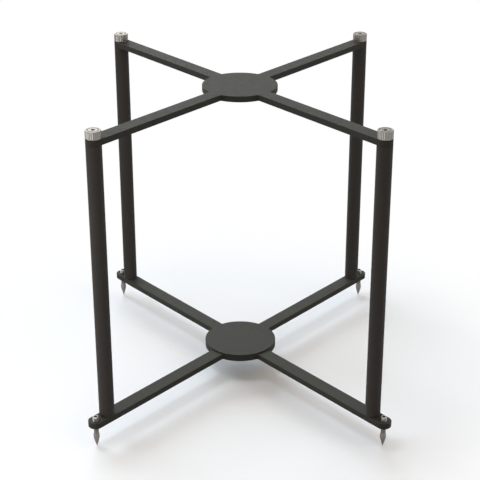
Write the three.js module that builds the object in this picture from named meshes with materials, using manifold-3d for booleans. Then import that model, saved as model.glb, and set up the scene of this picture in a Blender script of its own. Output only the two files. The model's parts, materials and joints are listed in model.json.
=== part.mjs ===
// Four-post speaker stand: two flat X frames held apart by four round posts, with a knurled
// clamp disc on top of each post and an adjustable spike under each lower arm end.
// Millimetres, +Z up. The origin lies on the floor, under the middle of the stand, and the
// front of the stand looks along -Y.
import * as THREE from 'three';
import { mergeVertices } from 'three/addons/utils/BufferGeometryUtils.js';
import Module from 'manifold-3d';

const wasm = await Module();
wasm.setup();

// ---- Driving dimensions ----------------------------------------------------------------

// Layout
const postSpacingX = 346; // between the post axes, left to right
const postSpacingY = 400; // between the post axes, front to back
const postLength = 375;
const floorGap = 31; // floor to the underside of the lower frame

// Posts: round steel tube with a threaded plug in each end
const postDiameter = 20;
const postWall = 2;
const plugLength = 25;

// X frames: laser-cut steel plate
const plateThickness = 8;
const hubDiameter = 100;
const insideCornerRadius = 2;
const edgeBreak = 0.4;
const spikeReach = 20; // from a post's axis to its spike's axis, along the arm

// Cover disc on the lower hub, held by a thin adhesive pad
const coverThickness = 1.5;
const coverEdgeBreak = 0.3;
const padThickness = 0.5;
const padInset = 2;

// Screw threads, drawn plain at their outer diameter
const threadDiameter = 8;
const threadTaper = 0.8; // bevel at the end of a thread
const keyAcrossFlats = 4; // hexagon socket in the studs
const keySocketDepth = 4.5;

// Clamp disc: turned, straight-knurled and screwed on a stud
const discHeight = 10.1;
const discBevel = 0.5; // at the top, down past the knurl's valleys
const discFootHeight = 0.7; // plain ring under the knurl
const discFootBreak = 0.2;
const knurlCount = 24;
const knurlDepth = 0.45;
const ringGrooveInset = 2.6; // from the disc's edge to the groove's outer wall
const ringGrooveWidth = 0.9;
const ringGrooveDepth = 0.7;
const discCrown = 3; // left above the disc's threaded hole
const keyHoleDiameter = 5;
const keyHoleBevel = 0.3;
const clampStudLength = 30;

// Countersunk screw that holds each post to the lower frame
const screwLength = 25;
const screwHeadDiameter = 15.6;
const screwKeyAcrossFlats = 5;
const screwKeyDepth = 3;

// Spike: a stud through the arm's threaded end, with a turned cone pressed on below it
const studRise = 5.6; // stud end above the plate
const threadDrop = 5.5; // thread below the plate
const neckDiameter = 6.5;
const coneDiameter = 8;
const coneTipRadius = 0.25;
const coneTaperLength = 13.5;
const coneBodyLength = 4.5;
const coneShoulderLength = 2;
const bulgeRadiusShare = 0.8; // where the bullet's curve is pulled out to, as shares of the
const bulgeHeightShare = 0.7; // cone's radius and of its taper
const tenonDiameter = 4.5;
const tenonLength = 8;

// Clearances, on the radius or the face
const threadClearance = 0.25;
const tubeClearance = 0.2;
const tenonClearance = 0.15;
const seatGap = 0.2;
const overrun = 1; // how far a cutting tool runs past the face it opens

// Facets
const postSides = 40;
const hubSides = 72;
const armEndSteps = 14;
const insideCornerSteps = 3;
const holeSides = 20;
const hiddenSides = 16;
const spikeSides = 20;
const ogiveSteps = 5;

// ---- Derived sizes and heights ---------------------------------------------------------

const postRadius = postDiameter / 2;
const postBore = postRadius - postWall;
const armWidth = postDiameter; // the arm ends finish flush with the posts
const discRadius = postRadius; // and so do the clamp discs
const hubRadius = hubDiameter / 2;
const threadRadius = threadDiameter / 2;
const tappedRadius = threadRadius + threadClearance;

const lowerPlateTop = floorGap + plateThickness;
const upperPlateBottom = lowerPlateTop + postLength;
const upperPlateTop = upperPlateBottom + plateThickness;
const discBottom = upperPlateTop + seatGap;

const postReach = Math.hypot(postSpacingX, postSpacingY) / 2;
const spikeRadiusReach = postReach + spikeReach;
const armAngle = Math.atan2(postSpacingY, postSpacingX);
const corners = [
  { name: 'back_right', angle: armAngle },
  { name: 'back_left', angle: Math.PI - armAngle },
  { name: 'front_left', angle: Math.PI + armAngle },
  { name: 'front_right', angle: 2 * Math.PI - armAngle },
];

// ---- Finishes --------------------------------------------------------------------------

const powderCoat = new THREE.MeshStandardMaterial({ color: 0x3d3c39, roughness: 0.6, metalness: 0.1 });
const brightSteel = new THREE.MeshStandardMaterial({ color: 0xb9b5ae, roughness: 0.3, metalness: 1 });
const spikeSteel = new THREE.MeshStandardMaterial({ color: 0x8f8780, roughness: 0.35, metalness: 1 });
const plainSteel = new THREE.MeshStandardMaterial({ color: 0x777a7c, roughness: 0.5, metalness: 1 });
const adhesive = new THREE.MeshStandardMaterial({ color: 0x1c1c1c, roughness: 0.9, metalness: 0 });

// ---- Making and cutting solids ---------------------------------------------------------

// A solid of revolution about +Z from an outline of [radius, height] points.
function turned(outline, sides) {
  const profile = outline.map(([radius, height]) => new THREE.Vector2(radius, height));
  return new THREE.LatheGeometry(profile, sides).rotateX(Math.PI / 2);
}

// A plain round bar from one height to another.
function bar(radius, bottom, top, sides) {
  return turned([[0, bottom], [radius, bottom], [radius, top], [0, top]], sides);
}

// A round bar with its top edge bevelled, as at the start of a thread.
function bevelledBar(radius, bottom, top, bevel, sides) {
  const outline = [[0, bottom], [radius, bottom], [radius, top - bevel], [radius - bevel, top], [0, top]];
  return turned(outline, sides);
}

// A hexagonal bar, as wide across its flats as the key that fits it.
function hexBar(acrossFlats, bottom, top) {
  const cornerRadius = acrossFlats / 2 / Math.cos(Math.PI / 6);
  return bar(cornerRadius, bottom, top, 6);
}

// A flat plate with a small bevel round both faces.
function plate(outline, bottom, thickness, bevel) {
  const settings = {
    depth: thickness - 2 * bevel,
    bevelThickness: bevel,
    bevelSize: bevel,
    bevelOffset: -bevel,
    bevelSegments: 1,
  };
  return new THREE.ExtrudeGeometry(new THREE.Shape(outline), settings).translate(0, 0, bottom + bevel);
}

// The corners and triangles of a closed geometry, with triangles of no area left out.
function closedMesh(geometry) {
  const bare = geometry.clone();
  bare.deleteAttribute('normal');
  bare.deleteAttribute('uv');
  const merged = mergeVertices(bare);
  const kept = [];
  for (let i = 0; i < merged.index.count; i += 3) {
    const triangle = [0, 1, 2].map((corner) => merged.index.getX(i + corner));
    if (new Set(triangle).size === 3) kept.push(...triangle);
  }
  const vertProperties = new Float32Array(merged.attributes.position.array);
  return { numProp: 3, vertProperties, triVerts: new Uint32Array(kept) };
}

function solid(geometry) {
  return new wasm.Manifold(new wasm.Mesh(closedMesh(geometry)));
}

function geometryFrom(vertices, triangles) {
  const geometry = new THREE.BufferGeometry();
  geometry.setAttribute('position', new THREE.BufferAttribute(vertices, 3));
  geometry.setIndex(new THREE.BufferAttribute(triangles, 1));
  geometry.computeVertexNormals();
  return geometry;
}

function fromSolid(body) {
  const mesh = body.getMesh();
  return geometryFrom(mesh.vertProperties, mesh.triVerts);
}

// A geometry with other geometries cut out of it.
function cut(body, ...tools) {
  return fromSolid(tools.reduce((left, tool) => left.subtract(solid(tool)), solid(body)));
}

// A geometry whose seams are closed, for a piece that needs no cut.
function whole(body) {
  const mesh = closedMesh(body);
  return geometryFrom(mesh.vertProperties, mesh.triVerts);
}

function piece(name, geometry, material) {
  const mesh = new THREE.Mesh(geometry, material);
  mesh.name = name;
  return mesh;
}

// ---- X frames --------------------------------------------------------------------------

// Points along an arc about a centre, turning from one angle to another.
function arc(centre, radius, from, to, steps) {
  return Array.from({ length: steps + 1 }, (_, i) => {
    const angle = from + ((to - from) * i) / steps;
    return new THREE.Vector2(centre.x + radius * Math.cos(angle), centre.y + radius * Math.sin(angle));
  });
}

// One arm's outline along +X: an inside corner at the hub, a straight edge, the half-round
// end, and back again.
function armOutline(reach) {
  const half = armWidth / 2;
  const cornerOut = half + insideCornerRadius;
  const cornerAlong = Math.sqrt((hubRadius + insideCornerRadius) ** 2 - cornerOut ** 2);
  const towardsHub = Math.PI - hubTouch();
  const right = new THREE.Vector2(cornerAlong, -cornerOut);
  const left = new THREE.Vector2(cornerAlong, cornerOut);
  const quarter = Math.PI / 2;
  return [
    ...arc(right, insideCornerRadius, towardsHub, quarter, insideCornerSteps),
    ...arc(new THREE.Vector2(reach, 0), half, -quarter, quarter, armEndSteps),
    ...arc(left, insideCornerRadius, -quarter, -towardsHub, insideCornerSteps),
  ];
}

// Half the angle of the hub that an arm and its inside corners take up.
function hubTouch() {
  return Math.asin((armWidth / 2 + insideCornerRadius) / (hubRadius + insideCornerRadius));
}

// The whole X: four arms with the hub's round between them.
function frameOutline(reach) {
  const middle = new THREE.Vector2(0, 0);
  return corners.flatMap(({ angle }, i) => {
    const next = corners[(i + 1) % corners.length].angle + (i + 1 === corners.length ? 2 * Math.PI : 0);
    const from = angle + hubTouch();
    const to = next - hubTouch();
    const steps = Math.max(2, Math.round(((to - from) / (2 * Math.PI)) * hubSides));
    const arm = armOutline(reach).map((point) => point.rotateAround(middle, angle));
    return [...arm, ...arc(middle, hubRadius, from, to, steps).slice(1, -1)];
  });
}

// A tool at a distance from the middle along each arm.
function alongArms(tool, reach) {
  return corners.map(({ angle }) => {
    return tool.clone().translate(reach * Math.cos(angle), reach * Math.sin(angle), 0);
  });
}

// The upper frame ends over the posts, where the clamp studs pass through it.
function upperFrame() {
  const body = plate(frameOutline(postReach), upperPlateBottom, plateThickness, edgeBreak);
  const studHole = bar(tappedRadius, upperPlateBottom - overrun, upperPlateTop + overrun, holeSides);
  return piece('top_frame', cut(body, ...alongArms(studHole, postReach)), powderCoat);
}

// The lower frame runs on past the posts to the tapped holes for the spikes, and is
// countersunk from below for the post screws.
function lowerFrame() {
  const body = plate(frameOutline(spikeRadiusReach), floorGap, plateThickness, edgeBreak);
  const spikeHole = bar(tappedRadius, floorGap - overrun, lowerPlateTop + overrun, holeSides);
  const screwHole = countersink();
  const tools = [...alongArms(spikeHole, spikeRadiusReach), ...alongArms(screwHole, postReach)];
  return piece('bottom_frame', cut(body, ...tools), powderCoat);
}

// The space for a countersunk screw, as wide as the screw and its clearance.
function countersink() {
  const headRadius = screwHeadDiameter / 2 + threadClearance;
  const coneTop = floorGap + headRadius - tappedRadius;
  const outline = [
    [0, floorGap - overrun],
    [headRadius, floorGap - overrun],
    [headRadius, floorGap],
    [tappedRadius, coneTop],
    [tappedRadius, lowerPlateTop + overrun],
    [0, lowerPlateTop + overrun],
  ];
  return turned(outline, holeSides);
}

function hubPad() {
  const pad = bar(hubRadius - padInset, lowerPlateTop, lowerPlateTop + padThickness, hubSides / 2);
  return piece('hub_cover_pad', whole(pad), adhesive);
}

function hubCover() {
  const bottom = lowerPlateTop + padThickness;
  const top = bottom + coverThickness;
  const outline = [
    [0, bottom],
    [hubRadius, bottom],
    [hubRadius, top - coverEdgeBreak],
    [hubRadius - coverEdgeBreak, top],
    [0, top],
  ];
  return piece('hub_cover', whole(turned(outline, hubSides)), powderCoat);
}

// ---- Posts -----------------------------------------------------------------------------

function postTube(corner) {
  const outline = [
    [postBore, lowerPlateTop],
    [postRadius, lowerPlateTop],
    [postRadius, upperPlateBottom],
    [postBore, upperPlateBottom],
    [postBore, lowerPlateTop],
  ];
  return piece(`post_${corner}`, whole(turned(outline, postSides)), powderCoat);
}

// A tapped plug that fills one end of a post.
function postPlug(name, bottom) {
  const radius = postBore - tubeClearance;
  const top = bottom + plugLength;
  const outline = [
    [tappedRadius, bottom],
    [radius, bottom],
    [radius, top],
    [tappedRadius, top],
    [tappedRadius, bottom],
  ];
  return piece(name, whole(turned(outline, hiddenSides)), plainSteel);
}

// The countersunk screw comes up through the lower frame into the post's lower plug.
function postScrew(corner) {
  const headRadius = screwHeadDiameter / 2;
  const outline = [
    [0, floorGap],
    [headRadius, floorGap],
    [threadRadius, floorGap + headRadius - threadRadius],
    [threadRadius, floorGap + screwLength],
    [0, floorGap + screwLength],
  ];
  const socket = hexBar(screwKeyAcrossFlats, floorGap - overrun, floorGap + screwKeyDepth);
  return piece(`post_screw_${corner}`, cut(turned(outline, holeSides), socket), plainSteel);
}

// ---- Clamp discs -----------------------------------------------------------------------

// The straight knurl as a star-shaped bar: one ridge and one valley for each tooth.
function knurlBar(bottom, top) {
  const points = Array.from({ length: 2 * knurlCount }, (_, i) => {
    const radius = i % 2 === 0 ? discRadius : discRadius - knurlDepth;
    const angle = (i * Math.PI) / knurlCount;
    return new THREE.Vector2(radius * Math.cos(angle), radius * Math.sin(angle));
  });
  const settings = { depth: top - bottom, bevelEnabled: false };
  return new THREE.ExtrudeGeometry(new THREE.Shape(points), settings).translate(0, 0, bottom);
}

// The blank that bevels the knurl at its top, and is wider than the ridges below.
function knurlBlank(bottom, top) {
  const spare = knurlDepth / 2;
  const outline = [
    [0, bottom],
    [discRadius + spare, bottom],
    [discRadius + spare, top - discBevel - spare],
    [discRadius - discBevel, top],
    [0, top],
  ];
  return turned(outline, 2 * knurlCount);
}

// The plain ring under the knurl, with its lower edge broken.
function discFoot(bottom) {
  const outline = [
    [0, bottom],
    [discRadius - discFootBreak, bottom],
    [discRadius, bottom + discFootBreak],
    [discRadius, bottom + discFootHeight],
    [0, bottom + discFootHeight],
  ];
  return turned(outline, 2 * knurlCount);
}

// The ring groove turned in the disc's top.
function ringGroove(top) {
  const outer = discRadius - ringGrooveInset;
  const inner = outer - ringGrooveWidth;
  const floor = top - ringGrooveDepth;
  const end = top + overrun;
  const outline = [[inner, floor], [outer, floor], [outer, end], [inner, end], [inner, floor]];
  return turned(outline, 2 * knurlCount);
}

// The hole that lets a key through the disc's crown, with its edge broken.
function keyHole(top) {
  const radius = keyHoleDiameter / 2;
  const outline = [
    [0, top - discCrown - overrun],
    [radius, top - discCrown - overrun],
    [radius, top - keyHoleBevel],
    [radius + keyHoleBevel + overrun, top + overrun],
    [0, top + overrun],
  ];
  return turned(outline, holeSides);
}

function clampDisc(corner) {
  const bottom = discBottom;
  const top = bottom + discHeight;
  const foot = bottom + discFootHeight;
  const knurl = solid(knurlBar(foot, top)).intersect(solid(knurlBlank(foot, top)));
  const knurled = fromSolid(knurl.add(solid(discFoot(bottom))));
  const tappedHole = bar(tappedRadius, bottom - overrun, top - discCrown, hiddenSides);
  const disc = cut(knurled, tappedHole, ringGroove(top), keyHole(top));
  return piece(`clamp_disc_${corner}`, disc, brightSteel);
}

// The stud that screws the disc down: from under the disc's crown, through the upper
// frame, into the plug in the post.
function clampStud(corner) {
  const top = discBottom + discHeight - discCrown - seatGap;
  const body = bevelledBar(threadRadius, top - clampStudLength, top, threadTaper, hiddenSides);
  const socket = hexBar(keyAcrossFlats, top - keySocketDepth, top + overrun);
  return piece(`clamp_stud_${corner}`, cut(body, socket), plainSteel);
}

// ---- Spikes ----------------------------------------------------------------------------

const coneTop = coneTaperLength + coneBodyLength + coneShoulderLength;

// The stud: bevelled end with its key socket, thread, undercut neck, and the tenon that
// the cone is pressed on.
function spikeStud(corner) {
  const top = lowerPlateTop + studRise;
  const threadEnd = floorGap - threadDrop;
  const tenonRadius = tenonDiameter / 2;
  const neckRadius = neckDiameter / 2;
  const outline = [
    [0, coneTop - tenonLength],
    [tenonRadius, coneTop - tenonLength],
    [tenonRadius, coneTop + seatGap],
    [neckRadius, coneTop + seatGap],
    [neckRadius, threadEnd],
    [threadRadius, threadEnd + (threadRadius - neckRadius)],
    [threadRadius, top - threadTaper],
    [threadRadius - threadTaper, top],
    [0, top],
  ];
  const socket = hexBar(keyAcrossFlats, top - keySocketDepth, top + overrun);
  return piece(`spike_stud_${corner}`, cut(turned(outline, spikeSides), socket), spikeSteel);
}

// The side of the cone from its tip up to its full width, slightly bulged like a bullet.
function ogive() {
  const radius = coneDiameter / 2;
  const tip = new THREE.Vector2(coneTipRadius, 0);
  const bulge = new THREE.Vector2(bulgeRadiusShare * radius, bulgeHeightShare * coneTaperLength);
  const shoulder = new THREE.Vector2(radius, coneTaperLength);
  const curve = new THREE.QuadraticBezierCurve(tip, bulge, shoulder);
  return curve.getPoints(ogiveSteps).map((point) => [point.x, point.y]);
}

function spikeCone(corner) {
  const holeRadius = tenonDiameter / 2 + tenonClearance;
  const holeBottom = coneTop - tenonLength - seatGap;
  const outline = [
    [0, 0],
    ...ogive(),
    [coneDiameter / 2, coneTaperLength + coneBodyLength],
    [neckDiameter / 2, coneTop],
    [holeRadius, coneTop],
    [holeRadius, holeBottom],
    [0, holeBottom],
  ];
  return piece(`spike_cone_${corner}`, whole(turned(outline, spikeSides)), spikeSteel);
}

// ---- Assembly --------------------------------------------------------------------------

// A group of pieces that share an axis, placed along one arm.
function onArm(angle, reach, pieces) {
  const group = new THREE.Group();
  group.position.set(reach * Math.cos(angle), reach * Math.sin(angle), 0);
  group.add(...pieces);
  return group;
}

function postGroup({ name, angle }) {
  return onArm(angle, postReach, [
    postTube(name),
    postPlug(`post_bottom_plug_${name}`, lowerPlateTop),
    postPlug(`post_top_plug_${name}`, upperPlateBottom - plugLength),
    postScrew(name),
    clampStud(name),
    clampDisc(name),
  ]);
}

function spikeGroup({ name, angle }) {
  return onArm(angle, spikeRadiusReach, [spikeStud(name), spikeCone(name)]);
}

const stand = new THREE.Group();
stand.add(upperFrame(), lowerFrame(), hubPad(), hubCover());
stand.add(...corners.map(postGroup), ...corners.map(spikeGroup));

export default stand;
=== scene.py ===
import json
from math import asin, atan2, ceil, cos, hypot, pi, radians, sin, sqrt

import bmesh
import bpy
from bpy.props import FloatProperty, FloatVectorProperty, IntProperty, PointerProperty
from mathutils import Matrix, Vector


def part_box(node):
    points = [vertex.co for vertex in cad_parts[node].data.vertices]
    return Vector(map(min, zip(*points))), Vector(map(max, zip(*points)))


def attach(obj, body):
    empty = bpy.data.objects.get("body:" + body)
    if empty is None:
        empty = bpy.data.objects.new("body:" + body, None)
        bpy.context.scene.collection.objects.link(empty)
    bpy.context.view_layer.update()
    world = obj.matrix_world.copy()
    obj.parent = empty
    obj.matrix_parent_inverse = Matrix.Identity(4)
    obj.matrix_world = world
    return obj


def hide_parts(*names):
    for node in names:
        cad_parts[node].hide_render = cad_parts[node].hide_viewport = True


# A four-post speaker stand: two flat X frames in black powder coat, held apart by round posts,
# with a bright knurled disc on each post and an adjustable spike under each lower arm end.
# Metres, +Z up, the front of the stand faces -Y.

bl_info = {
    "name": "Speaker Stand",
    "version": (1, 0, 0),
    "blender": (4, 5, 0),
    "location": "View3D > Sidebar > Stand",
    "description": "Dresses a four-post speaker stand and sets up its plain studio",
    "category": "Add Mesh",
}

# ---- The fixed frame ----------------------------------------------------------------------------

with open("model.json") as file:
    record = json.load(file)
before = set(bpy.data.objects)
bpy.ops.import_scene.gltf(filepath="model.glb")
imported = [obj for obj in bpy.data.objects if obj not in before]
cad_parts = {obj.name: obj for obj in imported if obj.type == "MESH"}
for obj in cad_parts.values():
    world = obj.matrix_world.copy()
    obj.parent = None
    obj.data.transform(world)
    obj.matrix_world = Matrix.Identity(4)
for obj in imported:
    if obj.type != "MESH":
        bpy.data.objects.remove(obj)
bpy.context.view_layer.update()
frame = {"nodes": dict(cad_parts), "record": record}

MM = 0.001
WELD = 0.0005 * MM  # points closer than this are one point
EDGE_BREAK = 0.12 * MM  # fine rounding that catches the light on turned edges
TURNING_GAP = 0.2 * MM  # lets a spike's stud turn on its cone
SOCKET_BEVEL = 0.2 * MM  # round the mouth of a screw's key socket
THREAD_DEPTH = 0.613  # of a metric thread, as a share of its pitch
FLOOR_REACH = 20  # half the studio floor's side
CORNERS = ("back_right", "back_left", "front_left", "front_right")
MODEL = "back_right"  # the corner whose sizes the other three share
BODY_OF = {
    node: body
    for body, nodes in frame["record"]["behaviour"]["bodies"].items()
    for node in nodes
}

# How finely round shapes are drawn, in sides or in points
THREAD_SIDES = 48
HOLE_SIDES = 48
SCREW_SIDES = 64
CONE_SIDES = 64
POST_SIDES = 96
COVER_SIDES = 144
KNURL_COLUMNS = 10  # across one ridge and its valley
CONE_STEPS = 24  # up the curve of a spike's point
HUB_STEPS, CORNER_STEPS, ARM_END_STEPS = 24, 6, 40  # along the arcs of an X frame


def bottom(node):
    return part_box(node)[0].z


def top(node):
    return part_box(node)[1].z


def width(node):
    low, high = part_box(node)
    return high.x - low.x


def axis(node):
    """Where a round node's axis meets the floor."""
    low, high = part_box(node)
    middle = (low + high) / 2
    return Vector((middle.x, middle.y, 0))


POST = axis(f"post_{MODEL}")
SPIKE = axis(f"spike_cone_{MODEL}")


def linear(hex_colour):
    """The linear colour of a six-digit sRGB hex value."""
    channels = [int(hex_colour[i : i + 2], 16) / 255 for i in (0, 2, 4)]
    return [c / 12.92 if c <= 0.04045 else ((c + 0.055) / 1.055) ** 2.4 for c in channels]


# ---- Sizes and colours that a user would change -------------------------------------------------


def length(name, description, default):
    return FloatProperty(
        name=name, description=description, default=default, min=0, precision=5, unit="LENGTH"
    )


def colour(name, description, hex_colour):
    return FloatVectorProperty(
        name=name,
        description=description,
        default=linear(hex_colour),
        min=0,
        max=1,
        subtype="COLOR",
    )


def watts(name, description, default):
    return FloatProperty(name=name, description=description, default=default, min=0, unit="POWER")


class StandFrameSizes(bpy.types.PropertyGroup):
    """Plates, posts and the hub's cover"""

    arm_width: length("Arm width", "The arms are as wide as the posts", width(f"post_{MODEL}"))
    hub_diameter: length("Hub diameter", "Round middle of both X frames", width("hub_cover"))
    corner_radius: length("Inside corner", "Between an arm and the hub", 2 * MM)
    plate_round: length("Plate edge", "Rounding of the plates' rims", 0.5 * MM)
    cover_round: length("Cover edge", "Rounding of the cover's rim", 0.35 * MM)
    post_wall: length("Post wall", "Wall of the round tube", 2 * MM)
    post_chamfer: length("Post chamfer", "Broken edge at a post's ends", 0.3 * MM)


class StandThreadSizes(bpy.types.PropertyGroup):
    """Screws, studs and their key sockets"""

    pitch: length("Pitch", "Rise of the thread in one turn", 1.25 * MM)
    diameter: length("Thread", "Outer diameter of the thread", 8 * MM)
    clearance: length("Clearance", "Between a thread and a hole, on the radius", 0.25 * MM)
    taper: length("Taper", "Bevel at the end of a thread", 0.8 * MM)
    key: length("Stud key", "Across the flats of a stud's socket", 4 * MM)
    key_depth: length("Stud socket", "Depth of a stud's socket", 4.5 * MM)
    screw_head: length(
        "Screw head", "Countersunk head under each post", width(f"post_screw_{MODEL}")
    )
    screw_key: length("Screw key", "Across the flats of the screw's socket", 5 * MM)
    screw_key_depth: length("Screw socket", "Depth of the screw's socket", 3 * MM)


class StandDiscSizes(bpy.types.PropertyGroup):
    """Knurled clamp discs"""

    bevel: length("Bevel", "At the top, down past the valleys", 0.5 * MM)
    foot: length("Foot", "Height of the plain ring under the knurl", 0.7 * MM)
    foot_break: length("Foot edge", "Broken lower edge of that ring", 0.2 * MM)
    knurls: IntProperty(name="Knurls", description="Ridges round a disc", default=24, min=8)
    knurl_depth: length("Knurl depth", "From a ridge to its valley", 0.45 * MM)
    groove_inset: length("Groove inset", "From the rim to the ring groove", 2.6 * MM)
    groove_width: length("Groove width", "Of the ring groove on top", 0.9 * MM)
    groove_depth: length("Groove depth", "Of the ring groove on top", 0.7 * MM)
    crown: length("Crown", "Metal left above the threaded hole", 3 * MM)
    key_hole: length("Key hole", "Diameter of the hole for the key", 5 * MM)


class StandSpikeSizes(bpy.types.PropertyGroup):
    """Spikes"""

    thread_drop: length("Thread drop", "Thread below the plate", 5.5 * MM)
    neck: length("Neck", "Diameter between the thread and the cone", 6.5 * MM)
    tip: length("Tip", "Radius of the flat on the point", 0.25 * MM)
    taper: length("Taper", "Length of the point", 13.5 * MM)
    body: length("Body", "Length of the straight part", 4.5 * MM)
    tenon: length("Tenon", "Diameter of the pin in the cone", 4.5 * MM)
    tenon_clearance: length("Tenon clearance", "On the pin's radius", 0.15 * MM)


class StandFinishes(bpy.types.PropertyGroup):
    """Colours of the metals and coats"""

    coat: colour("Powder coat", "Body colour of the black coat", "3A3934")
    coat_fleck: colour("Coat fleck", "Paler grain in the black coat", "43423C")
    post_coat: colour("Post coat", "Body colour of the posts' coat", "423F3D")
    post_fleck: colour("Post fleck", "Paler grain in the posts' coat", "4C4946")
    disc: colour("Disc steel", "Bright turned steel", "94908A")
    spike: colour("Spike steel", "Warm grey turned steel", "877F79")
    stud: colour("Stud steel", "Bright steel of the spikes' studs", "B9B6B0")
    screw: colour("Screw steel", "Zinc-plated steel", "8C8E90")
    pad: colour("Pad", "Black adhesive foam", "1B1B1B")


class StandStudio(bpy.types.PropertyGroup):
    """Camera, lamps and floor"""

    camera_place: FloatVectorProperty(
        name="Camera",
        description="Where the photograph was taken from",
        default=(0.0082, -1.7203, 0.9956),
        subtype="TRANSLATION",
        unit="LENGTH",
    )
    camera_yaw: FloatProperty(
        name="Yaw", description="Turned to the right", default=radians(-0.28), unit="ROTATION"
    )
    camera_pitch: FloatProperty(
        name="Pitch", description="Tilted down", default=radians(24.937), unit="ROTATION"
    )
    camera_roll: FloatProperty(
        name="Roll", description="Leant over", default=radians(-0.106), unit="ROTATION"
    )
    camera_lens: FloatProperty(
        name="Lens", description="For a 36 mm wide sensor", default=102.58, unit="CAMERA"
    )
    floor_colour: colour("Floor", "Pale floor", "FCFCFC")
    floor_bounce: colour("Floor bounce", "What the floor throws back onto the stand", "6C6C6C")
    sky: FloatProperty(name="Sky", description="Light from straight above", default=0.62)
    sky_tint: colour("Sky tint", "The warmer light of the ceiling", "FFEBD4")
    key_power: watts("Key lamp", "Wide window behind left", 1300)
    glow_power: watts("Glow", "What metal shows of that window", 570)
    top_power: watts("Top lamp", "Small soft light overhead", 50)
    side_power: watts("Side lamp", "Soft light from the right", 80)
    near_power: watts("Near lamp", "Small light by the front left post", 2.1)
    fade_start: length("Fade start", "Where the floor begins to go over into white", 280 * MM)
    fade_end: length("Fade end", "Where the floor is the white background", 500 * MM)


# ---- Making shapes ------------------------------------------------------------------------------


def spun(outline, steps):
    """A turned shape about Z from (radius, height) points."""
    shape = bmesh.new()
    points = [shape.verts.new((radius, 0, height)) for radius, height in outline]
    for pair in zip(points, points[1:]):
        shape.edges.new(pair)
    bmesh.ops.spin(
        shape,
        geom=shape.verts[:] + shape.edges[:],
        cent=(0, 0, 0),
        axis=(0, 0, 1),
        angle=2 * pi,
        steps=steps,
        use_merge=True,
    )
    return closed(shape)


def closed(shape):
    """The shape with its seams welded and its faces pointing out."""
    bmesh.ops.remove_doubles(shape, verts=shape.verts, dist=WELD)
    bmesh.ops.recalc_face_normals(shape, faces=shape.faces)
    return shape


def soften(shape, offset, sharper_than=radians(30), segments=2):
    """Rounds every edge that turns by more than an angle."""
    sharp = [e for e in shape.edges if e.is_manifold and e.calc_face_angle() > sharper_than]
    bmesh.ops.bevel(
        shape,
        geom=sharp,
        offset=offset,
        affect="EDGES",
        segments=segments,
        profile=0.5,
        material=-1,
    )
    return shape


def trim(shape, limit):
    """Pulls in each point that stands further from the axis than the limit allows there."""
    for point in shape.verts:
        reach = hypot(point.co.x, point.co.y)
        most = limit(atan2(point.co.y, point.co.x), point.co.z)
        if reach > most:
            point.co.x *= most / reach
            point.co.y *= most / reach
    return shape


def temporary_object(shape):
    mesh = bpy.data.meshes.new("temporary")
    shape.to_mesh(mesh)
    shape.free()
    made = bpy.data.objects.new("temporary", mesh)
    bpy.context.scene.collection.objects.link(made)
    return made


def combined(shape, tool, operation):
    """The shape with a closed tool cut from it or joined to it. Both are used up."""
    base, other = temporary_object(shape), temporary_object(tool)
    modifier = base.modifiers.new("combine", "BOOLEAN")
    modifier.operation = operation
    modifier.object = other
    modifier.solver = "EXACT"
    evaluated = base.evaluated_get(bpy.context.evaluated_depsgraph_get())
    result = bmesh.new()
    result.from_mesh(evaluated.data)
    for spent in (base, other):
        mesh = spent.data
        bpy.data.objects.remove(spent)
        bpy.data.meshes.remove(mesh)
    return closed(result)


def threaded_bar(sizes, low, high, low_end, high_end):
    """A right-hand thread: one spun turn of its profile climbs by one pitch, so that its end
    meets its start. Both ends are cut flat and bevelled down to their end radius."""
    outer = sizes.diameter / 2
    root = outer - THREAD_DEPTH * sizes.pitch
    # heights as shares of the pitch: a flat root, a flank, a flat crest and a flank back
    profile = ((0, root), (0.25, root), (0.5625, outer), (0.6875, outer))
    shape = bmesh.new()
    last = None
    for turn in range(ceil((high - low) / sizes.pitch) + 3):
        for share, radius in profile:
            height = low + (turn + share - 2) * sizes.pitch
            point = shape.verts.new((radius, 0, height))
            if last:
                shape.edges.new((last, point))
            last = point
    bmesh.ops.spin(
        shape,
        geom=shape.verts[:] + shape.edges[:],
        cent=(0, 0, 0),
        axis=(0, 0, 1),
        dvec=(0, 0, sizes.pitch / THREAD_SIDES),
        angle=2 * pi,
        steps=THREAD_SIDES,
        use_merge=False,
    )
    bmesh.ops.remove_doubles(shape, verts=shape.verts, dist=WELD)
    low_bevel, high_bevel = outer - low_end, outer - high_end
    cuts = (
        (low, -1, True),
        (high, 1, True),
        (low + low_bevel, 1, False),
        (high - high_bevel, 1, False),
    )
    for height, facing, clear in cuts:
        bmesh.ops.bisect_plane(
            shape,
            geom=shape.verts[:] + shape.edges[:] + shape.faces[:],
            plane_co=(0, 0, height),
            plane_no=(0, 0, facing),
            clear_outer=clear,
            dist=WELD,
        )
    trim(shape, lambda angle, z: min(outer, low_end + z - low, high_end + high - z))
    rims = [e for e in shape.edges if e.is_boundary]
    bmesh.ops.holes_fill(shape, edges=rims)
    return closed(shape)


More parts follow.
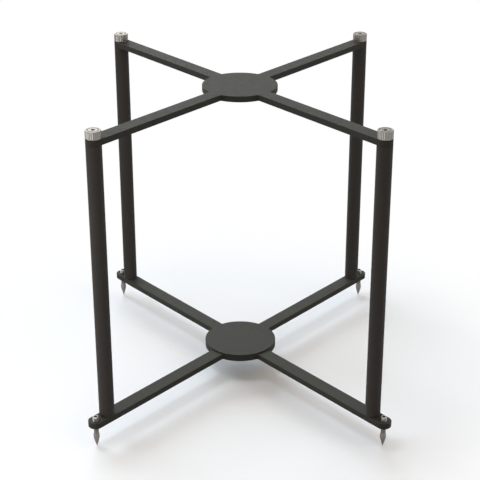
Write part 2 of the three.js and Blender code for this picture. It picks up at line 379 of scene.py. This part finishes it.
def key_socket(across, mouth, depth, bevel, facing):
    """The space of a hexagon socket with a bevelled mouth, opening up (1) or down (-1)."""
    overrun = bevel + MM
    corner = across / sqrt(3)
    hexagon = bmesh.new()
    bmesh.ops.create_cone(
        hexagon,
        cap_ends=True,
        segments=6,
        radius1=corner,
        radius2=corner,
        depth=depth + overrun,
    )
    bmesh.ops.translate(hexagon, verts=hexagon.verts, vec=(0, 0, (overrun - depth) / 2))
    inside = corner - MM
    outline = ((0, inside - corner - bevel), (inside, inside - corner - bevel))
    cone = spun((*outline, (corner + overrun, overrun - bevel), (0, overrun - bevel)), HOLE_SIDES)
    socket = combined(hexagon, cone, "UNION")
    if facing < 0:
        bmesh.ops.rotate(socket, verts=socket.verts, matrix=Matrix.Rotation(pi, 3, "X"))
    bmesh.ops.translate(socket, verts=socket.verts, vec=(0, 0, mouth))
    return socket


def add_piece(name, shape, node, finish, at=(0, 0, 0), turn=0.0):
    """A finished piece in the place of a node, riding on the node's body."""
    crease = radians(32)
    for face in shape.faces:
        face.smooth = True
    for edge in shape.edges:
        edge.smooth = edge.is_manifold and edge.calc_face_angle() < crease
    mesh = bpy.data.meshes.new(name)
    shape.to_mesh(mesh)
    mesh.transform(Matrix.Translation(at) @ Matrix.Rotation(turn, 4, "Z"))
    mesh.materials.append(finish)
    piece = bpy.data.objects.new(name, mesh)
    bpy.context.scene.collection.objects.link(piece)
    steady = piece.modifiers.new("flat faces stay flat", "WEIGHTED_NORMAL")
    steady.keep_sharp = True
    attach(piece, BODY_OF[node])
    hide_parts(node)


def add_at_corners(name, shape, node, finish):
    """The same piece at all four corners, each turned a little differently."""
    for i, corner in enumerate(CORNERS):
        there = f"{node}_{corner}"
        add_piece(f"{name}_{corner}", shape, there, finish, axis(there), radians(17 * i))
    shape.free()


# ---- Materials ----------------------------------------------------------------------------------

FIRST, SECOND, MIXED = 6, 7, 2  # the colour sockets of a Mix node, whose names repeat
NOISE_LOW, NOISE_HIGH = 0.3, 0.7  # between these lie nearly all values of a noise


def add(tree, kind, sockets=None, **settings):
    """A shader node with its settings, and its sockets set to values or linked."""
    node = tree.nodes.new("ShaderNode" + kind)
    for setting, value in settings.items():
        setattr(node, setting, value)
    for socket, value in (sockets or {}).items():
        if isinstance(value, bpy.types.NodeSocket):
            tree.links.new(value, node.inputs[socket])
        else:
            node.inputs[socket].default_value = value
    return node


def finish_named(name):
    """The material of that name and its empty tree, or the one made before and no tree."""
    made = bpy.data.materials.get(name)
    if made:
        return made, None
    material = bpy.data.materials.new(name)
    material.use_nodes = True
    material.node_tree.nodes.clear()
    return material, material.node_tree


def powder_coat(name, body, fleck):
    """Polyester powder coat, sprayed and baked: a satin black whose fine sandy grain spreads
    every reflection into a soft grey."""
    material, tree = finish_named(name)
    if tree:
        grain = 0.5 * MM  # coarser than a real coat's, so that it shows in a render
        flow = 6 * MM  # slow unevenness where the coat ran level
        place = add(tree, "TexCoord").outputs["Object"]
        grit = add(tree, "TexNoise", {"Vector": place, "Scale": 1 / grain, "Detail": 2.0})
        level = add(tree, "TexNoise", {"Vector": place, "Scale": 1 / flow, "Detail": 1.0})
        tone = add(
            tree,
            "Mix",
            {0: grit.outputs["Fac"], FIRST: (*body, 1), SECOND: (*fleck, 1)},
            data_type="RGBA",
        )
        sheen = add(
            tree,
            "MapRange",
            {
                "Value": level.outputs["Fac"],
                "From Min": NOISE_LOW,
                "From Max": NOISE_HIGH,
                "To Min": 0.58,
                "To Max": 0.66,
            },
        )
        relief = add(
            tree, "Bump", {"Height": grit.outputs["Fac"], "Distance": 0.04 * MM, "Strength": 0.4}
        )
        surface = add(
            tree,
            "BsdfPrincipled",
            {
                "Base Color": tone.outputs[MIXED],
                "Roughness": sheen.outputs["Result"],
                "Specular IOR Level": 0.12,
                "IOR": 1.5,
                "Normal": relief.outputs["Normal"],
            },
        )
        add(tree, "OutputMaterial", {"Surface": surface.outputs["BSDF"]})
    return material


def plate_coat():
    """The coat of the flat plates."""
    colours = bpy.context.scene.stand_finishes
    return powder_coat("satin_black_powder_coat", colours.coat, colours.coat_fleck)


def post_coat():
    """The coat of the round posts, a touch paler, as the front ones are in the photograph."""
    colours = bpy.context.scene.stand_finishes
    return powder_coat("post_powder_coat", colours.post_coat, colours.post_fleck)


def turned_steel(name, metal, centre, roughness, feed, deepest_shade=1.0):
    """Bright steel off a lathe: fine rings round the piece's own axis, which draw its
    reflections out into bands, and painted shade where a point is marked as a valley, in the
    knurl, in a key socket and on the shank under the plate: a darker colour where shade falls.
    The four corners are alike, so they are folded onto one. The rings stand further apart
    than a fine tool leaves them, so that they show in a render."""
    material, tree = finish_named(name)
    if tree:
        place = add(tree, "TexCoord").outputs["Object"]
        folded = add(tree, "VectorMath", {0: place}, operation="ABSOLUTE")
        centred = add(
            tree,
            "Mapping",
            {"Vector": folded.outputs["Vector"], "Location": (-centre.x, -centre.y, 0)},
        )
        level = add(
            tree, "VectorMath", {0: centred.outputs["Vector"], 1: (1, 1, 0)}, operation="MULTIPLY"
        )
        radius = add(tree, "VectorMath", {0: level.outputs["Vector"]}, operation="LENGTH")
        height = add(tree, "SeparateXYZ", {"Vector": place})
        across = add(
            tree, "CombineXYZ", {"X": radius.outputs["Value"], "Y": height.outputs["Z"]}
        )
        rings = add(
            tree,
            "TexNoise",
            {"Vector": across.outputs["Vector"], "Scale": 1 / feed, "Detail": 3.0},
        )
        patch = 3 * MM  # across one smear of handling
        cloud = add(tree, "TexNoise", {"Vector": place, "Scale": 1 / patch, "Detail": 2.0})
        shade = add(
            tree,
            "MapRange",
            {
                "Value": rings.outputs["Fac"],
                "From Min": NOISE_LOW,
                "From Max": NOISE_HIGH,
                "To Min": 0.82,
                "To Max": 1.0,
            },
        )
        # Painted shade: where points are marked as valleys, the steel's colour is made darker, as
        # shade falls there
        valley = add(tree, "Attribute", attribute_name="valley")
        dull = add(
            tree, "MapRange", {"Value": valley.outputs["Fac"], "To Min": 1.0, "To Max": deepest_shade}
        )
        shade = add(
            tree,
            "Math",
            {0: shade.outputs["Result"], 1: dull.outputs["Result"]},
            operation="MULTIPLY",
        )
        tone = add(
            tree,
            "VectorMath",
            {0: tuple(metal), "Scale": shade.outputs["Value"]},
            operation="SCALE",
        )
        gloss = add(
            tree,
            "MapRange",
            {
                "Value": cloud.outputs["Fac"],
                "From Min": NOISE_LOW,
                "From Max": NOISE_HIGH,
                "To Min": roughness - 0.05,
                "To Max": roughness + 0.05,
            },
        )
        relief = add(
            tree, "Bump", {"Height": rings.outputs["Fac"], "Distance": 0.02 * MM, "Strength": 0.4}
        )
        surface = add(
            tree,
            "BsdfPrincipled",
            {
                "Base Color": tone.outputs["Vector"],
                "Metallic": 1.0,
                "Roughness": gloss.outputs["Result"],
                "Normal": relief.outputs["Normal"],
            },
        )
        add(tree, "OutputMaterial", {"Surface": surface.outputs["BSDF"]})
    return material


def disc_steel():
    """Turned and knurled steel: bright on the crests, with painted shade greying the valleys."""
    colours = bpy.context.scene.stand_finishes
    return turned_steel("turned_knurled_steel", colours.disc, POST, 0.32, 0.35 * MM, 0.66)


def stud_steel():
    """Turned and threaded steel: pale and satin, with painted shade darkening it below the plate
    and in its key socket.
    """
    colours = bpy.context.scene.stand_finishes
    return turned_steel("bright_stud_steel", colours.stud, SPIKE, 0.4, 0.35 * MM, 0.38)


def spike_steel():
    """Turned steel of a warm grey, a little duller than the discs'."""
    colours = bpy.context.scene.stand_finishes
    return turned_steel("turned_spike_steel", colours.spike, SPIKE, 0.34, 0.4 * MM)


def zinc_plate():
    """Zinc-plated machine steel, cold-formed and barrel-plated: a dull blue-grey with a slow
    cloudiness and no direction to it."""
    material, tree = finish_named("zinc_plated_steel")
    if tree:
        colours = bpy.context.scene.stand_finishes
        place = add(tree, "TexCoord").outputs["Object"]
        patch = 1.5 * MM  # across one cloud of the plating
        cloud = add(tree, "TexNoise", {"Vector": place, "Scale": 1 / patch, "Detail": 3.0})
        pale = [min(1, 1.25 * channel) for channel in colours.screw]
        tone = add(
            tree,
            "Mix",
            {0: cloud.outputs["Fac"], FIRST: (*colours.screw, 1), SECOND: (*pale, 1)},
            data_type="RGBA",
        )
        gloss = add(
            tree, "MapRange", {"Value": cloud.outputs["Fac"], "To Min": 0.38, "To Max": 0.52}
        )
        relief = add(
            tree, "Bump", {"Height": cloud.outputs["Fac"], "Distance": 0.02 * MM, "Strength": 0.3}
        )
        surface = add(
            tree,
            "BsdfPrincipled",
            {
                "Base Color": tone.outputs[MIXED],
                "Metallic": 1.0,
                "Roughness": gloss.outputs["Result"],
                "Normal": relief.outputs["Normal"],
            },
        )
        add(tree, "OutputMaterial", {"Surface": surface.outputs["BSDF"]})
    return material


def foam_pad():
    """Black acrylic foam tape, cast with open cells: matt, with tiny pits."""
    material, tree = finish_named("adhesive_foam")
    if tree:
        colours = bpy.context.scene.stand_finishes
        place = add(tree, "TexCoord").outputs["Object"]
        cell = 0.4 * MM
        cells = add(tree, "TexVoronoi", {"Vector": place, "Scale": 1 / cell})
        relief = add(
            tree,
            "Bump",
            {"Height": cells.outputs["Distance"], "Distance": 0.1 * MM, "Strength": 0.6},
        )
        surface = add(
            tree,
            "BsdfPrincipled",
            {
                "Base Color": (*colours.pad, 1),
                "Roughness": 0.9,
                "Normal": relief.outputs["Normal"],
            },
        )
        add(tree, "OutputMaterial", {"Surface": surface.outputs["BSDF"]})
    return material


# ---- X frames and cover -------------------------------------------------------------------------


def line_on(shape, tip, step):
    """The outline goes on from its tip along a straight edge."""
    made = bmesh.ops.extrude_vert_indiv(shape, verts=[tip])
    bmesh.ops.translate(shape, verts=made["verts"], vec=step)
    return made["verts"][0]


def arc_on(shape, tip, centre, angle, steps):
    """The outline goes on from its tip along an arc about a centre."""
    made = bmesh.ops.spin(
        shape, geom=[tip], cent=centre, axis=(0, 0, 1), angle=angle, steps=steps
    )
    return next(g for g in made["geom_last"] if isinstance(g, bmesh.types.BMVert))


def x_plate(sizes, reach, low, high):
    """An X-shaped plate. One arm's outline is drawn along X, turned to its corner and
    mirrored both ways, and the face that fills it is made thick and its rims rounded."""
    half = sizes.arm_width / 2
    hub = sizes.hub_diameter / 2
    corner = sizes.corner_radius
    out = half + corner
    along = sqrt((hub + corner) ** 2 - out**2)
    touch = asin(out / (hub + corner))
    arm = atan2(POST.y, POST.x)
    shape = bmesh.new()
    tip = shape.verts.new((hub * cos(arm), -hub * sin(arm), low))
    tip = arc_on(shape, tip, (0, 0, 0), arm - touch, HUB_STEPS)
    tip = arc_on(shape, tip, (along, -out, 0), touch - pi / 2, CORNER_STEPS)
    tip = line_on(shape, tip, (reach - along, 0, 0))
    tip = arc_on(shape, tip, (reach, 0, 0), pi, ARM_END_STEPS)
    tip = line_on(shape, tip, (along - reach, 0, 0))
    tip = arc_on(shape, tip, (along, out, 0), touch - pi / 2, CORNER_STEPS)
    arc_on(shape, tip, (0, 0, 0), pi / 2 - arm - touch, HUB_STEPS)
    bmesh.ops.rotate(shape, verts=shape.verts, matrix=Matrix.Rotation(arm, 3, "Z"))
    for mirror_axis in "XY":
        bmesh.ops.mirror(
            shape, geom=shape.verts[:] + shape.edges[:], merge_dist=WELD, axis=mirror_axis
        )
    bmesh.ops.remove_doubles(shape, verts=shape.verts, dist=WELD)
    bmesh.ops.contextual_create(shape, geom=shape.edges[:])
    raised = bmesh.ops.extrude_face_region(shape, geom=shape.faces[:])
    points = [g for g in raised["geom"] if isinstance(g, bmesh.types.BMVert)]
    bmesh.ops.translate(shape, verts=points, vec=(0, 0, high - low))
    bmesh.ops.holes_fill(shape, edges=[e for e in shape.edges if e.is_boundary])
    return soften(closed(shape), sizes.plate_round, sharper_than=radians(60), segments=3)


def at_all_corners(shape, place):
    """Four of the shape, one in each corner."""
    bmesh.ops.translate(shape, verts=shape.verts, vec=place)
    for mirror_axis in "XY":
        everything = shape.verts[:] + shape.edges[:] + shape.faces[:]
        bmesh.ops.mirror(shape, geom=everything, axis=mirror_axis)
    return closed(shape)


def tapped_hole(threads, low, high):
    """The space of a tapped hole through a plate, countersunk a little at both faces."""
    radius = threads.diameter / 2 + threads.clearance
    bevel = 0.35 * MM
    outline = (
        (0, low - MM),
        (radius + bevel + MM, low - MM),
        (radius, low + bevel),
        (radius, high - bevel),
        (radius + bevel + MM, high + MM),
        (0, high + MM),
    )
    return spun(outline, HOLE_SIDES)


class STAND_OT_upper_frame(bpy.types.Operator):
    """Cuts the upper X frame, with a hole over each post"""

    bl_idname = "stand.upper_frame"
    bl_label = "Upper frame"

    def execute(self, context):
        sizes, threads = context.scene.stand_frame, context.scene.stand_threads
        low, high = bottom("top_frame"), top("top_frame")
        plate = x_plate(sizes, POST.length, low, high)
        holes = at_all_corners(tapped_hole(threads, low, high), POST)
        plate = combined(plate, holes, "DIFFERENCE")
        add_piece("upper_x_frame", plate, "top_frame", plate_coat())
        return {"FINISHED"}


class STAND_OT_lower_frame(bpy.types.Operator):
    """Cuts the lower X frame, tapped for the spikes and countersunk below for the screws"""

    bl_idname = "stand.lower_frame"
    bl_label = "Lower frame"

    def execute(self, context):
        sizes, threads = context.scene.stand_frame, context.scene.stand_threads
        low, high = bottom("bottom_frame"), top("bottom_frame")
        plate = x_plate(sizes, SPIKE.length, low, high)
        holes = at_all_corners(tapped_hole(threads, low, high), SPIKE)
        plate = combined(plate, holes, "DIFFERENCE")
        head = threads.screw_head / 2 + threads.clearance
        shank = threads.diameter / 2 + threads.clearance
        sink = (
            (0, low - MM),
            (head, low - MM),
            (head, low),
            (shank, low + head - shank),
            (shank, high + MM),
            (0, high + MM),
        )
        plate = combined(plate, at_all_corners(spun(sink, SCREW_SIDES), POST), "DIFFERENCE")
        add_piece("lower_x_frame", plate, "bottom_frame", plate_coat())
        return {"FINISHED"}


class STAND_OT_cover(bpy.types.Operator):
    """Turns the bare cover disc of the lower hub and finishes the pad under it"""

    bl_idname = "stand.cover"
    bl_label = "Hub cover"

    def execute(self, context):
        sizes = context.scene.stand_frame
        radius = sizes.hub_diameter / 2
        low, high = bottom("hub_cover"), top("hub_cover")
        cover = spun(((0, low), (radius, low), (radius, high), (0, high)), COVER_SIDES)
        soften(cover, sizes.cover_round, segments=3)
        add_piece("cover_disc", cover, "hub_cover", plate_coat())
        dress("hub_cover_pad", foam_pad())
        return {"FINISHED"}


def dress(node, finish):
    """Gives a node that keeps its own mesh its material."""
    mesh = frame["nodes"][node].data
    mesh.materials.clear()
    mesh.materials.append(finish)


# ---- Posts and their fasteners ------------------------------------------------------------------


class STAND_OT_posts(bpy.types.Operator):
    """Makes the four round posts and finishes the plugs in their ends"""

    bl_idname = "stand.posts"
    bl_label = "Posts"

    def execute(self, context):
        sizes = context.scene.stand_frame
        outer = sizes.arm_width / 2
        bore = outer - sizes.post_wall
        low, high = bottom(f"post_{MODEL}"), top(f"post_{MODEL}")
        ring = ((bore, low), (outer, low), (outer, high), (bore, high), (bore, low))
        tube = soften(spun(ring, POST_SIDES), sizes.post_chamfer)
        add_at_corners("round_post", tube, "post", post_coat())
        for corner in CORNERS:
            for end in ("bottom", "top"):
                dress(f"post_{end}_plug_{corner}", zinc_plate())
        return {"FINISHED"}


class STAND_OT_screws(bpy.types.Operator):
    """Makes the countersunk socket screws under the posts"""

    bl_idname = "stand.screws"
    bl_label = "Post screws"

    def execute(self, context):
        threads = context.scene.stand_threads
        head, shank = threads.screw_head / 2, threads.diameter / 2
        low, high = bottom(f"post_screw_{MODEL}"), top(f"post_screw_{MODEL}")
        under = low + head - shank
        inside = under + MM
        outline = ((0, low), (head, low), (shank, under), (shank, inside), (0, inside))
        cone = soften(spun(outline, SCREW_SIDES), EDGE_BREAK)
        thread = threaded_bar(threads, under, high, shank, shank - threads.taper)
        screw = combined(cone, thread, "UNION")
        socket = key_socket(threads.screw_key, low, threads.screw_key_depth, SOCKET_BEVEL, -1)
        screw = combined(screw, socket, "DIFFERENCE")
        add_at_corners("socket_screw", screw, "post_screw", zinc_plate())
        return {"FINISHED"}


# ---- Clamp discs --------------------------------------------------------------------------------


class STAND_OT_clamp_discs(bpy.types.Operator):
    """Turns and knurls the four clamp discs"""

    bl_idname = "stand.clamp_discs"
    bl_label = "Clamp discs"

    def execute(self, context):
        sizes, threads = context.scene.stand_discs, context.scene.stand_threads
        rim = context.scene.stand_frame.arm_width / 2
        bore = threads.diameter / 2 + threads.clearance
        hole = sizes.key_hole / 2
        low, high = bottom(f"clamp_disc_{MODEL}"), top(f"clamp_disc_{MODEL}")
        outer = rim - sizes.groove_inset
        inner = outer - sizes.groove_width
        floor = high - sizes.groove_depth
        crown = high - sizes.crown
        foot = low + sizes.foot
        rings = 6  # across the bevel, so that the valleys run out in it
        chamfer = [i * sizes.bevel / rings for i in range(rings + 1)]
        outline = [(bore, low), (rim - sizes.foot_break, low), (rim, low + sizes.foot_break)]
        outline += [(rim, foot), (rim, foot + 0.05 * MM)]  # the knurl starts in a crisp step
        outline += [(rim - step, high - sizes.bevel + step) for step in chamfer]
        outline += [(outer, high), (outer, floor), (inner, floor), (inner, high)]
        outline += [(hole, high), (hole, crown), (bore, crown), (bore, low)]
        disc = soften(spun(outline, KNURL_COLUMNS * sizes.knurls), EDGE_BREAK)

        def knurl(angle, height):
            phase = angle * sizes.knurls / (2 * pi) % 1
            flank = 0.42  # as a share of the spacing, which leaves a narrow flat on each ridge
            valley = max(0, 1 - abs(phase - 0.5) / flank)
            return rim - sizes.knurl_depth * valley if height > foot + WELD else rim

        trim(disc, knurl)
        # Painted shade: points in the knurl's valleys are marked, the deeper the more, so that the
        # steel there is coloured darker, as shade falls between the ridges
        depth = disc.verts.layers.float.new("valley")
        for point in disc.verts:
            if foot < point.co.z < high - sizes.bevel / 2:
                reach = hypot(point.co.x, point.co.y)
                point[depth] = min(1, max(0, (rim - reach) / sizes.knurl_depth))
        add_at_corners("knurled_disc", disc, "clamp_disc", disc_steel())
        return {"FINISHED"}


class STAND_OT_clamp_studs(bpy.types.Operator):
    """Threads the studs that screw the clamp discs down"""

    bl_idname = "stand.clamp_studs"
    bl_label = "Clamp studs"

    def execute(self, context):
        threads = context.scene.stand_threads
        end = threads.diameter / 2 - threads.taper
        low, high = bottom(f"clamp_stud_{MODEL}"), top(f"clamp_stud_{MODEL}")
        stud = threaded_bar(threads, low, high, end, end)
        socket = key_socket(threads.key, high, threads.key_depth, SOCKET_BEVEL, 1)
        stud = combined(stud, socket, "DIFFERENCE")
        add_at_corners("clamp_set_screw", stud, "clamp_stud", zinc_plate())
        return {"FINISHED"}


# ---- Spikes -------------------------------------------------------------------------------------


class STAND_OT_spike_studs(bpy.types.Operator):
    """Threads the spikes' studs, with their key sockets, necks and tenons"""

    bl_idname = "stand.spike_studs"
    bl_label = "Spike studs"

    def execute(self, context):
        sizes, threads = context.scene.stand_spikes, context.scene.stand_threads
        low, high = bottom(f"spike_stud_{MODEL}"), top(f"spike_stud_{MODEL}")
        neck, tenon = sizes.neck / 2, sizes.tenon / 2
        shoulder = top(f"spike_cone_{MODEL}") + TURNING_GAP
        plate = bottom("bottom_frame")
        thread_end = plate - sizes.thread_drop
        outer = threads.diameter / 2
        thread = threaded_bar(threads, thread_end, high, neck, outer - threads.taper)
        inside = thread_end + MM
        root = min(neck, outer - THREAD_DEPTH * threads.pitch)
        outline = (
            (0, low),
            (tenon, low),
            (tenon, shoulder),
            (neck, shoulder),
            (root, inside),
            (0, inside),
        )
        stem = soften(spun(outline, THREAD_SIDES), EDGE_BREAK)
        stud = combined(thread, stem, "UNION")
        socket = key_socket(threads.key, high, threads.key_depth, 0.25 * MM, 1)
        stud = combined(stud, socket, "DIFFERENCE")
        # Painted shade: the shank under the plate and the inside of the key socket are marked, so
        # that the steel there is coloured darker, where shade falls
        painted_shade = stud.verts.layers.float.new("valley")
        mouth = high - 0.3 * MM  # the socket's bevel above it stays bright
        for point in stud.verts:
            in_socket = point.co.z < mouth and hypot(point.co.x, point.co.y) < 0.6 * threads.key
            point[painted_shade] = float(point.co.z < plate + MM or in_socket)
        add_at_corners("spike_stem", stud, "spike_stud", stud_steel())
        return {"FINISHED"}


class STAND_OT_spike_cones(bpy.types.Operator):
    """Turns the bullet-shaped spikes"""

    bl_idname = "stand.spike_cones"
    bl_label = "Spike cones"

    def execute(self, context):
        sizes = context.scene.stand_spikes
        low, high = bottom(f"spike_cone_{MODEL}"), top(f"spike_cone_{MODEL}")
        radius = width(f"spike_cone_{MODEL}") / 2
        hole = sizes.tenon / 2 + sizes.tenon_clearance
        hole_end = bottom(f"spike_stud_{MODEL}") - TURNING_GAP
        tip, shoulder = (sizes.tip, 0), (radius, sizes.taper)
        bulge = (0.8 * radius, 0.7 * sizes.taper)  # where the bullet's curve is pulled out to
        outline = [(0, low)]
        for i in range(CONE_STEPS + 1):
            t = i / CONE_STEPS
            r, z = (
                (1 - t) ** 2 * a + 2 * t * (1 - t) * b + t**2 * c
                for a, b, c in zip(tip, bulge, shoulder)
            )
            outline.append((r, low + z))
        outline += [(radius, low + sizes.taper + sizes.body), (sizes.neck / 2, high)]
        outline += [(hole, high), (hole, hole_end), (0, hole_end)]
        cone = soften(spun(outline, CONE_SIDES), EDGE_BREAK)
        add_at_corners("spike_point", cone, "spike_cone", spike_steel())
        return {"FINISHED"}


# ---- Studio -------------------------------------------------------------------------------------


def seen_rays(tree):
    """1 where the background shows: to the camera, in metal and through glass."""
    ray = add(tree, "LightPath")
    seen = add(
        tree,
        "Math",
        {0: ray.outputs["Is Camera Ray"], 1: ray.outputs["Is Glossy Ray"]},
        operation="MAXIMUM",
    )
    seen = add(
        tree,
        "Math",
        {0: seen.outputs["Value"], 1: ray.outputs["Is Transmission Ray"]},
        operation="MAXIMUM",
    )
    return seen.outputs["Value"]


def studio_floor(studio):
    """A white painted floor, which keeps the stand's shadow. It goes over into the white
    background at a distance, and isn't seen from below."""
    shape = bmesh.new()
    bmesh.ops.create_grid(shape, x_segments=1, y_segments=1, size=FLOOR_REACH)
    bmesh.ops.translate(shape, verts=shape.verts, vec=(0, 0, -0.1 * MM))  # just under the points
    mesh = bpy.data.meshes.new("studio_floor")
    shape.to_mesh(mesh)
    shape.free()
    floor = bpy.data.objects.new("studio_floor", mesh)
    bpy.context.scene.collection.objects.link(floor)
    material, tree = finish_named("white_floor_paint")
    place = add(tree, "TexCoord").outputs["Object"]
    distance = add(tree, "VectorMath", {0: place}, operation="LENGTH")
    far = add(
        tree,
        "MapRange",
        {
            "Value": distance.outputs["Value"],
            "From Min": studio.fade_start,
            "From Max": studio.fade_end,
        },
        interpolation_type="SMOOTHSTEP",
    )
    seen = seen_rays(tree)
    shade = add(
        tree,
        "Mix",
        {0: seen, FIRST: (*studio.floor_bounce, 1), SECOND: (*studio.floor_colour, 1)},
        data_type="RGBA",
    )
    paint = add(tree, "BsdfDiffuse", {"Color": shade.outputs[MIXED]})
    white = add(tree, "Emission", {"Color": (1, 1, 1, 1), "Strength": 1.0})
    share = add(tree, "Math", {0: far.outputs["Result"], 1: seen}, operation="MULTIPLY")
    lit = add(
        tree,
        "MixShader",
        {0: share.outputs["Value"], 1: paint.outputs["BSDF"], 2: white.outputs["Emission"]},
    )
    clear = add(tree, "BsdfTransparent")
    side = add(tree, "NewGeometry")
    surface = add(
        tree,
        "MixShader",
        {0: side.outputs["Backfacing"], 1: lit.outputs["Shader"], 2: clear.outputs["BSDF"]},
    )
    add(tree, "OutputMaterial", {"Surface": surface.outputs["Shader"]})
    mesh.materials.append(material)


def studio_sky(studio):
    """Light that grows from the horizon to the ceiling, on a background that is seen as white."""
    world = bpy.data.worlds.new("studio_sky")
    world.use_nodes = True
    tree = world.node_tree
    tree.nodes.clear()
    toward = add(tree, "TexCoord").outputs["Generated"]
    up = add(tree, "SeparateXYZ", {"Vector": toward}).outputs["Z"]
    ceiling = add(tree, "MapRange", {"Value": up, "To Max": studio.sky})
    light = add(
        tree,
        "Background",
        {"Color": (*studio.sky_tint, 1), "Strength": ceiling.outputs["Result"]},
    )
    white = add(tree, "Background", {"Color": (1, 1, 1, 1), "Strength": 1.0})
    sky = add(
        tree,
        "MixShader",
        {0: seen_rays(tree), 1: light.outputs["Background"], 2: white.outputs["Background"]},
    )
    add(tree, "OutputWorld", {"Surface": sky.outputs["Shader"]})
    bpy.context.scene.world = world


def softbox(name, azimuth, elevation, distance, size, power, tint, mirrored=True):
    """A soft lamp aimed at the stand, placed by its compass angle clockwise from behind the
    stand and by its height angle. A size of two lengths is a rectangle, and of one a disc.
    One that isn't mirrored doesn't show in metal or in a coat's sheen."""
    light = bpy.data.lights.new(name, "AREA")
    light.shape = "RECTANGLE" if len(size) == 2 else "DISK"
    light.size = size[0]
    light.size_y = size[-1]
    light.energy = power
    light.color = tint
    lamp = bpy.data.objects.new(name, light)
    lamp.matrix_world = (
        Matrix.Rotation(radians(-azimuth), 4, "Z")
        @ Matrix.Rotation(radians(elevation - 90), 4, "X")
        @ Matrix.Translation((0, 0, distance))
    )
    lamp.visible_camera = False
    lamp.visible_glossy = mirrored
    bpy.context.scene.collection.objects.link(lamp)


def photograph_camera(studio):
    """The camera at the place, angle and lens of the photograph."""
    data = bpy.data.cameras.new("photograph_camera")
    data.sensor_fit = "HORIZONTAL"
    data.sensor_width = 36
    data.lens = studio.camera_lens
    camera = bpy.data.objects.new("photograph_camera", data)
    camera.matrix_world = (
        Matrix.Translation(studio.camera_place)
        @ Matrix.Rotation(-studio.camera_yaw, 4, "Z")
        @ Matrix.Rotation(pi / 2 - studio.camera_pitch, 4, "X")
        @ Matrix.Rotation(studio.camera_roll, 4, "Z")
    )
    bpy.context.scene.collection.objects.link(camera)
    bpy.context.scene.camera = camera


class STAND_OT_stage(bpy.types.Operator):
    """Sets up the pale floor, the soft light and the camera"""

    bl_idname = "stand.stage"
    bl_label = "Studio"

    def execute(self, context):
        studio = context.scene.stand_studio
        photograph_camera(studio)
        studio_floor(studio)
        studio_sky(studio)
        cool, plain = (0.8, 1.0, 1.2), (1.0, 1.0, 1.0)
        window = (13.8, 7.8)
        # name, compass angle, height angle, distance, size, power and tint
        softbox("window_softbox", -25, 25, 12, window, studio.key_power, cool, False)
        softbox("window_glow", -32, 25, 12, window, studio.glow_power, plain)
        softbox("top_softbox", 280, 72, 6, (1.68,), studio.top_power, cool)
        softbox("side_softbox", 110, 26, 8, (4.0,), studio.side_power, plain)
        softbox("near_softbox", 232, 12, 0.95, (0.5,), studio.near_power, plain)
        context.scene.view_settings.view_transform = "Standard"
        return {"FINISHED"}


# ---- Panel and registration ---------------------------------------------------------------------

GROUPS = {
    "stand_frame": StandFrameSizes,
    "stand_threads": StandThreadSizes,
    "stand_discs": StandDiscSizes,
    "stand_spikes": StandSpikeSizes,
    "stand_finishes": StandFinishes,
    "stand_studio": StandStudio,
}
OPERATORS = (
    STAND_OT_stage,
    STAND_OT_upper_frame,
    STAND_OT_lower_frame,
    STAND_OT_cover,
    STAND_OT_posts,
    STAND_OT_screws,
    STAND_OT_clamp_discs,
    STAND_OT_clamp_studs,
    STAND_OT_spike_studs,
    STAND_OT_spike_cones,
)


class STAND_PT_panel(bpy.types.Panel):
    """Lists the stand's pieces and their sizes"""

    bl_label = "Speaker Stand"
    bl_idname = "STAND_PT_panel"
    bl_space_type = "VIEW_3D"
    bl_region_type = "UI"
    bl_category = "Stand"

    def draw(self, context):
        for operator in OPERATORS:
            self.layout.operator(operator.bl_idname)
        for group, kind in GROUPS.items():
            box = self.layout.box()
            box.label(text=kind.__doc__)
            for name in kind.__annotations__:
                box.prop(getattr(context.scene, group), name)


def register():
    for kind in (*GROUPS.values(), *OPERATORS, STAND_PT_panel):
        bpy.utils.register_class(kind)
    for group, kind in GROUPS.items():
        setattr(bpy.types.Scene, group, PointerProperty(type=kind))


def unregister():
    for group in GROUPS:
        delattr(bpy.types.Scene, group)
    for kind in reversed((*GROUPS.values(), *OPERATORS, STAND_PT_panel)):
        bpy.utils.unregister_class(kind)


def main():
    register()
    for operator in OPERATORS:
        category, name = operator.bl_idname.split(".")
        getattr(getattr(bpy.ops, category), name)()


if __name__ == "__main__":
    main()
